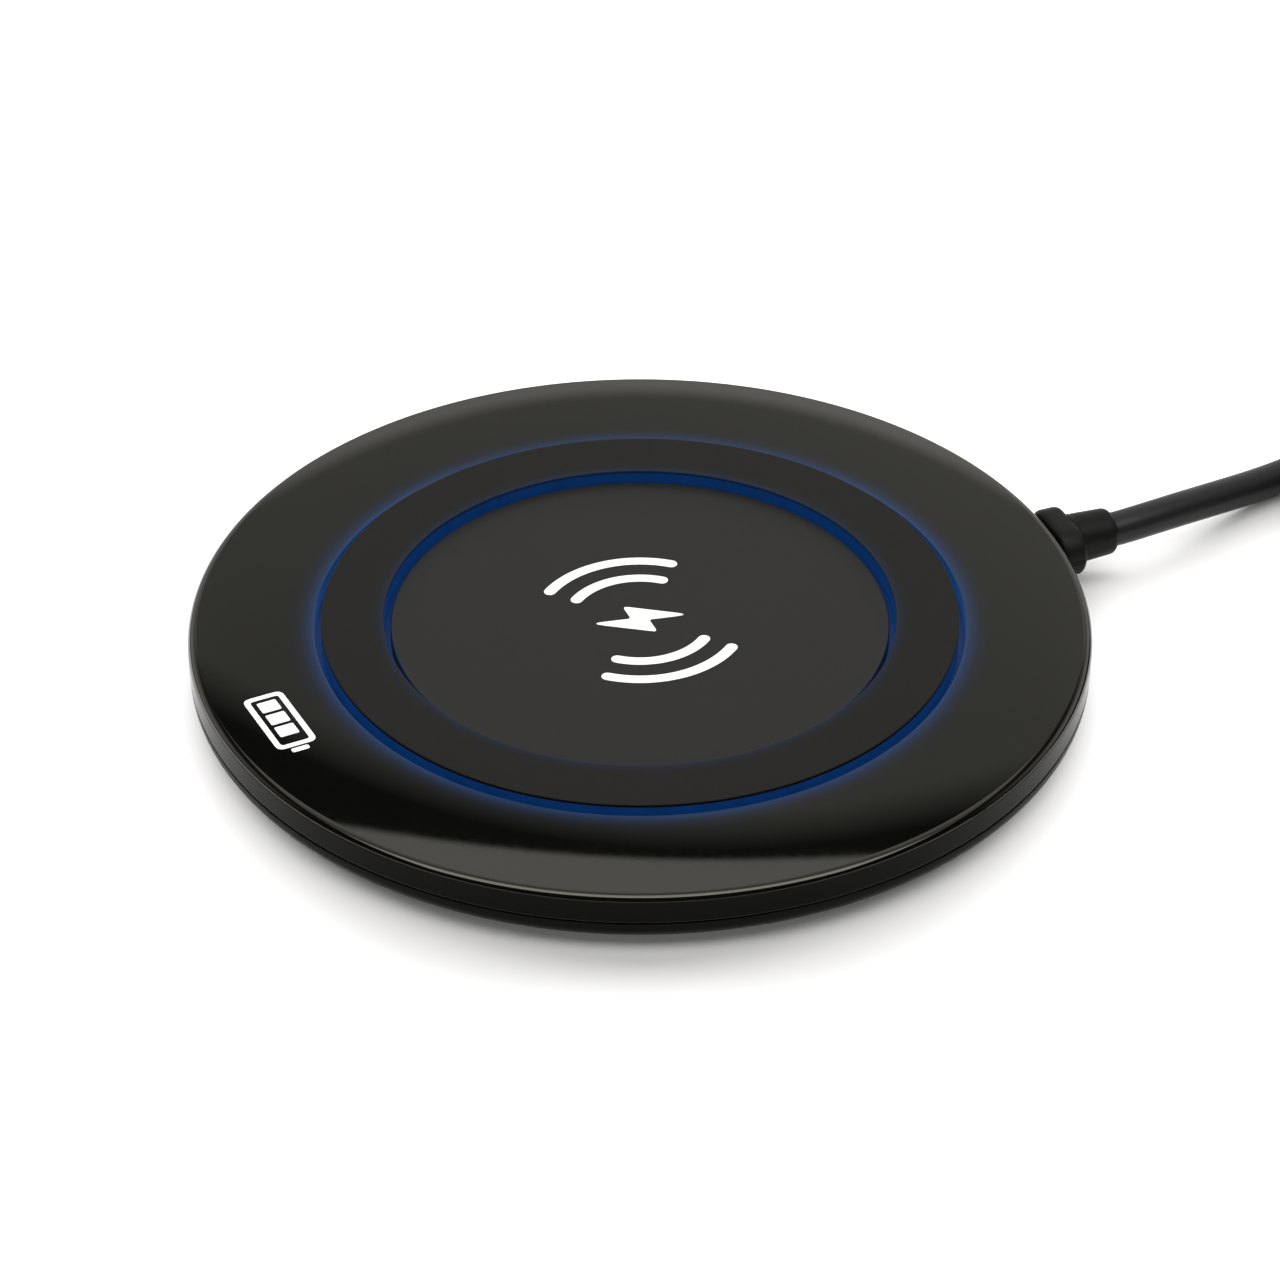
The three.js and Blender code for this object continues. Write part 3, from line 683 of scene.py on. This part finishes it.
def feet():
    """Rubber feet, hollowed a little in the middle so that each rests on a ring."""
    top = BASE_Z + FOOT_WELL - 0.05
    outline = fillet([(0, 0.12, 0), (1.6, 0.12, 0.1), (1.9, 0, 0.1), (FOOT_RADIUS, 0, 0.35),
                      (FOOT_RADIUS, top, 0.05), (0, top, 0)])
    for k, place in enumerate(screw_places(), 1):
        dress(new_object(f"foot_pad_{k}", turned(outline, 72, place)), "foot_rubber", "pad", f"foot_{k}")


# ---------------------------------------------------------------- printed marks


BATTERY_TURN = 275
BATTERY_CIRCLE = 43.3
BAND_RADII = (8.0, 11.4)
INK_DEPTH = (0.01, 0.03)      # below and above the surface


def printed(name, outlines, place, height):
    """Flat ink from closed outlines. place puts a point on the pad, and height gives the surface there."""
    data = bpy.data.curves.new(name, "CURVE")
    data.dimensions = "2D"
    data.fill_mode = "BOTH"
    for outline in outlines:
        spline = data.splines.new("POLY")
        spline.points.add(len(outline) - 1)
        for point, (x, y) in zip(spline.points, outline):
            point.co = (x, y, 0, 1)
        spline.use_cyclic_u = True
    drawn = bpy.data.objects.new(name, data)
    flat = bpy.data.meshes.new_from_object(drawn)
    bpy.data.objects.remove(drawn)
    bm = bmesh.new()
    bm.from_mesh(flat)
    bmesh.ops.remove_doubles(bm, verts=bm.verts, dist=1e-4)
    top = bmesh.ops.extrude_face_region(bm, geom=list(bm.faces))
    raised = {v for v in top["geom"] if isinstance(v, bmesh.types.BMVert)}
    for v in bm.verts:
        x, y = place(v.co.x, v.co.y)
        z = height(math.hypot(x, y))
        v.co = (x, y, z + INK_DEPTH[1] if v in raised else z - INK_DEPTH[0])
    return new_object(name, bm, 30)


def arc_band(radius, width, middle, half, steps=40, cap_steps=10):
    """A curved bar with round ends, about (0, 0). Angles in degrees."""
    first, last = math.radians(middle - half), math.radians(middle + half)

    def arc(centre, size, start, end, count):
        turns = [start + (end - start) * i / count for i in range(count + 1)]
        return [(centre[0] + size * math.cos(turn), centre[1] + size * math.sin(turn)) for turn in turns]

    def cap(at, start):
        centre = (radius * math.cos(at), radius * math.sin(at))
        return arc(centre, width / 2, start, start + math.pi, cap_steps)[1:-1]

    return (arc((0, 0), radius + width / 2, first, last, steps) + cap(last, last)
            + arc((0, 0), radius - width / 2, last, first, steps) + cap(first, first + math.pi))


def rounded_corners(points, radius):
    return fillet([(x, y, radius) for x, y in points], 4)


def rounded_box(left, bottom, right, top, radius):
    return rounded_corners([(left, bottom), (right, bottom), (right, top), (left, top)], radius)


def centre_mark():
    """A bolt between two pairs of arcs, a generic sign for charging without a wire."""
    bolt = rounded_corners([(1.3, 5.6), (-3.0, -0.9), (-0.45, -0.9), (-1.3, -5.6), (3.0, 0.9), (0.45, 0.9)],
                           0.35)
    bands = [arc_band(radius, 1.35, middle, 40) for radius in BAND_RADII for middle in (0, 180)]
    return printed("mark_centre", [bolt, *bands], lambda x, y: (x, y), lambda r: DISC_TOP)


def battery_mark():
    """The outline of a battery with three bars, on the rim."""
    shell = [rounded_box(-5.2, -2.3, 4.8, 2.3, 0.9), rounded_box(-4.55, -1.65, 4.15, 1.65, 0.4)]
    nub = rounded_box(5.1, -1.0, 5.8, 1.0, 0.25)
    bars = [rounded_box(x, -1.1, x + 1.9, 1.1, 0.2) for x in (-4.0, -1.6, 0.8)]
    turn = math.radians(BATTERY_TURN)
    outward = Vector((math.cos(turn), math.sin(turn)))
    along = Vector((-outward.y, outward.x))

    def on_rim(x, y):
        return along * x - outward * y + outward * BATTERY_CIRCLE

    return printed("mark_battery", [*shell, nub, *bars], on_rim, rim_height)


def marks():
    for mark in (centre_mark(), battery_mark()):
        mark.data.materials.append(ink.material)
        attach(mark, "pad")


# ---------------------------------------------------------------- lead


def along_y(sections, place):
    """A loft of (y, points) sections that stand in the XZ plane."""
    return lofted([[place @ Vector((x, y, z)) for x, z in section] for y, section in sections])


def circle_section(radius, count=64):
    return [(radius * math.cos(2 * math.pi * k / count), radius * math.sin(2 * math.pi * k / count))
            for k in range(count)]


def end_round(start, end, edge, steps=6):
    """(y, inset) pairs of a body with both ends rounded."""
    ends = quarter(steps)
    return ([(start + edge * (1 - cosine), edge * (1 - sine)) for sine, cosine in ends]
            + [(end - edge + edge * sine, edge * (1 - cosine)) for sine, cosine in ends])


def pad_plug():
    """The plug's oval body and its neck, which rounds off onto the cable."""
    at = Matrix.Translation((0, 0, PORT_Z))
    width, height = PLUG_BODY
    sections = [(y, rounded_section(width, height, height / 2, inset, 14))
                for y, inset in end_round(*PLUG_BODY_ENDS, PLUG_BODY_EDGE)]
    dress(new_object("plug_hood", along_y(sections, at), 60), "plug_black", "lead", "micro_plug_body")

    back, radius = NECK_BACK
    profile = [(52.9, 3.0), (53.2, 3.0), (53.45, 2.93), (53.9, 2.9), (back, radius)]
    profile += [(back + NECK_ROUND * sine, radius - NECK_ROUND * (1 - cosine))
                for sine, cosine in quarter(8)[1:]]
    profile += [(CABLE_EXIT_Y, 1.95)]
    sections = [(y, circle_section(radius)) for y, radius in profile]
    dress(new_object("plug_neck", along_y(sections, at), 60), "plug_black", "lead", "micro_plug_neck")


def far_plug():
    """The USB plug's body, with grip grooves round it, and its stepped strain relief."""
    at = Matrix.Translation((*FAR_PLUG_PLACE, FAR_Z)) @ Matrix.Rotation(math.radians(FAR_PLUG_TURN), 4, "Z")
    ends = end_round(*FAR_BODY_ENDS, FAR_BODY_EDGE)
    half = len(ends) // 2
    first, spacing, count = GROOVES
    grooves = [(first + spacing * k + along, depth) for k in range(count) for along, depth in GROOVE_DEPTHS]
    outline = ends[:half] + grooves + ends[half:]
    sections = [(y, rounded_section(*FAR_BODY, FAR_BODY_CORNER, inset)) for y, inset in outline]
    dress(new_object("usb_hood", along_y(sections, at), 50), "plug_black", "lead", "usb_a_body")

    profile = [(0, 2.2), (0.25, 2.55), (0.6, 2.7)]
    first, spacing, count = RIBS
    for k in range(count):
        y = first + spacing * k
        radius = 2.7 + 0.8 * (y + 0.6) / FAR_BODY_ENDS[0]
        low_radius = radius - RIB_HEIGHT
        profile += [(y, radius), (y + 0.15, low_radius), (y + 0.75, low_radius), (y + 0.9, radius)]
    profile += [(9.6, 3.55)]
    sections = [(y, circle_section(radius, 48)) for y, radius in profile]
    dress(new_object("usb_neck", along_y(sections, at), 45), "plug_black", "lead", "usb_a_neck")


def tie():
    """The strap round the coil: a flat band on a rounded loop that stands across the turns."""
    outward = Vector((math.cos(STRAP_TURN), math.sin(STRAP_TURN), 0))
    side = Vector((-outward.y, outward.x, 0))
    centre = Vector((*COIL_CENTRE, 0))
    corners = [(13.4, 0.25, 2.6), (26.9, 0.25, 2.6), (27.0, 12.4, 2.9), (23.5, 13.95, 2.5),
               (13.4, 10.6, 2.9)]
    path = [Vector(p) for p in fillet(corners, 10)]
    middle = sum(path, Vector((0, 0))) / len(path)
    rings = []
    for i, p in enumerate(path):
        tangent = (path[(i + 1) % len(path)] - path[i - 1]).normalized()
        normal = Vector((tangent.y, -tangent.x))
        if normal.dot(p - middle) < 0:
            normal = -normal
        ring = []
        for u, v in rounded_section(*STRAP, 0.2, 0, 3):
            q = p + normal * v
            ring.append(centre + outward * q.x + Vector((0, 0, max(q.y, 0.0))) + side * u)
        rings.append(ring)
    return new_object("strap", lofted(rings, looped=True), 60)


upper_case()
lower_case()
glow_guide()
soft_ring()
soft_disc()
feet()
marks()
pad_plug()
far_plug()
dress(tie(), "tie_black", "lead", "cable_tie")
dress(cable, "cable_jacket", "lead", "cable_run", "cable_coil", "cable_tail")

# ---------------------------------------------------------------- CAD nodes that stay

# The slot of each node that stays, by how its name starts.
KEPT = {
    "case_screw": "screw_steel", "ferrite_plate": "ferrite", "coil_tape": "tape_yellow",
    "charging_coil": "copper_wire", "coil_lead": "copper_wire", "main_board": "board_green",
    "led": "led_white", "power_controller": "chip_black", "filter_inductor": "chip_black",
    "mosfet": "chip_black", "input_capacitor": "ceramic_tan", "resonant_capacitor": "ceramic_tan",
    "thermistor": "ceramic_tan", "clock_crystal": "crystal_can", "socket_shell": "connector_steel",
    "socket_tongue": "connector_insert", "micro_plug_shell": "connector_steel",
    "micro_plug_insert": "connector_insert", "usb_a_shell": "connector_steel",
    "usb_a_insert": "connector_insert", "usb_a_contact": "contact_gold",
}
KEPT_EDGE = 0.06              # width that is taken off their edges


def dress_kept():
    """Gives the nodes that show their finishes, and takes the hardness off their edges."""
    for name, node in nodes.items():
        if node.hide_render:
            continue
        slot = next(s for start, s in KEPT.items() if name.startswith(start))
        node.data.materials.clear()
        node.data.materials.append(finishes[slot].material)
        bevel = node.modifiers.new("edges", "BEVEL")
        bevel.width = KEPT_EDGE * MM
        bevel.segments = 2
        bevel.limit_method = "ANGLE"
        bevel.angle_limit = math.radians(50)


dress_kept()

# ---------------------------------------------------------------- floor and light


FLOOR_HALF = 4000


def make_floor():
    bm = bmesh.new()
    bmesh.ops.create_grid(bm, x_segments=1, y_segments=1, size=FLOOR_HALF)
    floor = new_object("floor", bm)
    finish = moulding("pale_floor", (0.88, 0.88, 0.88), 0.9, 3.0, 0.0, 0.0, 0.02)
    finish.shader.inputs["Specular IOR Level"].default_value = 0.0
    floor.data.materials.append(finish.material)


# The studio that the pad mirrors. Elevations and turns are in degrees, turns from straight behind the pad.
AMBIENT = 0.1                     # all that matte surfaces get from it
BACKDROP = 1.0                    # all that the camera sees of it
EDGE = (33.2, 33.34)              # white up to here, then grey
EDGE_SAG = (0.029, 1.7)           # it sinks with the turn squared, and this much at most
EDGE_DROP = (5.6, 6.4, 0.6)       # and once more between two turns
GREY_TOP = 35.0
GREY_LEVELS = (0.52, 0.42)        # at the edge, and from GREY_TOP up
GAP = (36.55, 37.0)               # grey up to here, then dark
GAP_BOW = (1.4, 60.0, 0.022)      # turn where it is highest, where it stops sinking, and how fast it sinks
LEAN = (8.0, 0.022, 0.98)         # widest turn, what each degree of it adds, and the level in the middle
SIDES = (7.0, 14.0)               # turns where the sides take over from the middle
FRONT = (60.0, 95.0, 0.02)        # turns where they fade, and what is left of them
BOX_EDGE = (37.05, 37.12)         # the soft box starts here, over the gap
BOX_TILT = -0.035
BOX_START = 1.33                  # on a ceiling one unit up, its near end, behind the pad
BOX_WIDTH = (1.3, 0.62, 0.16)     # length where it stops widening, how fast it widens, first half width
BOX_BLUR = (-0.02, 0.06)
# Levels of light, by degrees above the horizon at the back, and on over the top for the soft box.
LOW_LEVELS = [(0, 0.1), (6, 0.3), (15, 0.6), (25, 0.95), (33, 1.3), (90, 1.3)]
SIDE_LEVELS = [(-1, 0.03), (3, 0.03), (9, 0.9), (20, 1.2), (28, 0.8), (34, 0.5), (37, 0.1), (40, 0.03),
               (90, 0.03)]
SOFT_LEVELS = [(0, 1.2), (45, 1.2), (58, 1.1), (72, 0.7), (88, 0.8), (96, 4.4), (123, 5.2), (126, 0.3),
               (129, 0.03), (180, 0.03)]
BRIGHTEST = 8.0                   # a ramp holds levels as shares of this
STUDIO_WHITE = (1.0, 0.995, 0.98)


class Sky:
    """The world's node tree, with short ways to add nodes, and where each direction lies."""

    def __init__(self, name):
        world = bpy.data.worlds.new(name)
        scene.world = world
        world.use_nodes = True
        self.tree = world.node_tree
        self.tree.nodes.clear()
        self.direction = self.tree.nodes.new("ShaderNodeTexCoord").outputs["Generated"]
        self.height = self.along((0, 0, 1))
        self.back = self.along(ahead)
        self.right = self.along(across)
        self.elevation = self.degrees(self.maths("ARCSINE", self.height))
        self.turn = self.degrees(self.maths("ARCTAN2", self.right, self.back))
        self.around = self.maths("ABSOLUTE", self.turn)
        self.arch = self.degrees(self.maths("ARCTAN2", self.height, self.back))

    def add(self, kind, inputs, **settings):
        node = self.tree.nodes.new(kind)
        for key, value in settings.items():
            setattr(node, key, value)
        for key, value in inputs.items():
            if isinstance(value, bpy.types.NodeSocket):
                self.tree.links.new(value, node.inputs[key])
            else:
                node.inputs[key].default_value = value
        return node.outputs[0]

    def maths(self, operation, a, b=0.0, c=0.0):
        return self.add("ShaderNodeMath", {0: a, 1: b, 2: c}, operation=operation)

    def degrees(self, radians):
        return self.maths("MULTIPLY", radians, 180 / math.pi)

    def along(self, axis):
        node = self.tree.nodes.new("ShaderNodeVectorMath")
        node.operation = "DOT_PRODUCT"
        self.tree.links.new(self.direction, node.inputs[0])
        node.inputs[1].default_value = axis
        return node.outputs["Value"]

    def step(self, value, start, end, before, after):
        return self.add("ShaderNodeMapRange", {"Value": value, "From Min": start, "From Max": end,
                                               "To Min": before, "To Max": after})

    def capped(self, value, most):
        return self.maths("MAXIMUM", self.maths("MINIMUM", value, most), -most)

    def level(self, value, stops):
        """A level that goes straight from stop to stop, as (value, level)."""
        start, end = stops[0][0], stops[-1][0]
        ramp = self.tree.nodes.new("ShaderNodeValToRGB")
        ramp.color_ramp.interpolation = "LINEAR"
        elements = ramp.color_ramp.elements
        elements[0].position, elements[-1].position = 0, 1
        for position, _ in stops[1:-1]:
            elements.new((position - start) / (end - start))
        for element, (_, height) in zip(elements, stops):
            share = height / BRIGHTEST
            element.color = (share, share, share, 1)
        place = self.step(value, start, end, 0.0, 1.0)
        self.tree.links.new(place, ramp.inputs[0])
        return self.maths("MULTIPLY", ramp.outputs[0], BRIGHTEST)

    def middle(self):
        """Behind the pad: white with an edge that sinks to the sides, a grey strip, and a dark gap."""
        most, gain, base = LEAN
        sag = self.maths("MINIMUM", self.maths("MULTIPLY", self.maths("MULTIPLY", self.turn, self.turn),
                                               EDGE_SAG[0]), EDGE_SAG[1])
        drop = self.step(self.around, EDGE_DROP[0], EDGE_DROP[1], 0, EDGE_DROP[2])
        lowered = self.maths("SUBTRACT", self.elevation, self.maths("ADD", sag, drop))
        line = self.step(lowered, *EDGE, 1, 0)
        white = self.maths("MULTIPLY", self.level(self.elevation, LOW_LEVELS), line)
        grey = self.maths("MULTIPLY", self.step(lowered, EDGE[1], GREY_TOP, *GREY_LEVELS),
                          self.maths("SUBTRACT", 1.0, line))
        peak, limit, fall = GAP_BOW
        away = self.maths("SUBTRACT", self.turn, peak)
        square = self.maths("MINIMUM", self.maths("MULTIPLY", away, away), limit)
        below_gap = self.step(self.maths("MULTIPLY_ADD", square, fall, self.elevation), *GAP, 1, 0)
        lean = self.maths("MULTIPLY_ADD", self.capped(self.turn, most), gain, base)
        both = self.maths("MULTIPLY", self.maths("ADD", white, grey), below_gap)
        return self.maths("MULTIPLY", both, lean)

    def surround(self):
        """The middle and the two sides, which fade out before the front."""
        fade = self.step(self.around, FRONT[0], FRONT[1], 1, FRONT[2])
        side = self.maths("MULTIPLY", self.level(self.elevation, SIDE_LEVELS), fade)
        share = self.step(self.around, *SIDES, 0, 1)
        return self.add("ShaderNodeMix", {0: share, 2: self.middle(), 3: side})

    def soft_box(self):
        """A light on the ceiling that starts behind the pad and widens towards the front."""
        longest, widening, first = BOX_WIDTH
        up = self.maths("MAXIMUM", self.height, 0.02)
        length = self.maths("SUBTRACT", BOX_START, self.maths("DIVIDE", self.back, up))
        half = self.maths("MULTIPLY_ADD", self.maths("MINIMUM", length, longest), widening, first)
        beyond = self.maths("SUBTRACT", self.maths("DIVIDE", self.maths("ABSOLUTE", self.right), up), half)
        tilted = self.maths("MULTIPLY_ADD", self.capped(self.turn, LEAN[0]), BOX_TILT, self.arch)
        within = self.step(beyond, *BOX_BLUR, 1, 0)
        inside = self.maths("MULTIPLY", within, self.step(tilted, *BOX_EDGE, 0, 1))
        return self.maths("MULTIPLY", self.level(self.arch, SOFT_LEVELS), inside)


def make_world():
    """A pale studio. Gloss mirrors its details, and matte surfaces get an even light from it."""
    sky = Sky("studio")
    mirrored = sky.maths("MAXIMUM", sky.surround(), sky.soft_box())
    rays = sky.tree.nodes.new("ShaderNodeLightPath").outputs
    shown = sky.add("ShaderNodeMix", {0: rays["Is Diffuse Ray"], 2: mirrored, 3: AMBIENT})
    shown = sky.add("ShaderNodeMix", {0: rays["Is Camera Ray"], 2: shown, 3: BACKDROP})
    light = sky.add("ShaderNodeBackground", {"Color": (*STUDIO_WHITE, 1), "Strength": shown})
    output = sky.tree.nodes.new("ShaderNodeOutputWorld")
    sky.tree.links.new(light, output.inputs[0])


# Name, watts, width, depth, elevation, distance, and turn from straight behind the pad.
LAMPS = [
    ("low_lamp", 60, 3.2, 0.4, 28, 1.8, 0),
    ("high_lamp", 22, 2.4, 1.9, 54, 1.8, 0),
    ("left_lamp", 13, 0.9, 0.6, 30, 1.8, -62),
    ("right_lamp", 13, 0.9, 0.6, 30, 1.8, 62),
    ("front_lamp", 13, 2.4, 0.8, 25, 2.2, 180),
]


def make_lamp(name, power, width, depth, elevation, distance, turn):
    """A broad soft lamp that gloss doesn't mirror. Lengths in metres, angles in degrees."""
    data = bpy.data.lights.new(name, "AREA")
    data.shape = "RECTANGLE"
    data.size = width
    data.size_y = depth
    data.energy = power
    data.color = STUDIO_WHITE
    lamp = bpy.data.objects.new(name, data)
    scene.collection.objects.link(lamp)
    up, aside = math.radians(elevation), math.radians(turn)
    flat = ahead * math.cos(aside) + across * math.sin(aside)
    toward = flat * math.cos(up) + Vector((0, 0, math.sin(up)))
    lamp.location = toward * distance
    lamp.rotation_euler = toward.to_track_quat("Z", "Y").to_euler()
    lamp.visible_glossy = False


make_floor()
make_world()
for lamp in LAMPS:
    make_lamp(*lamp)
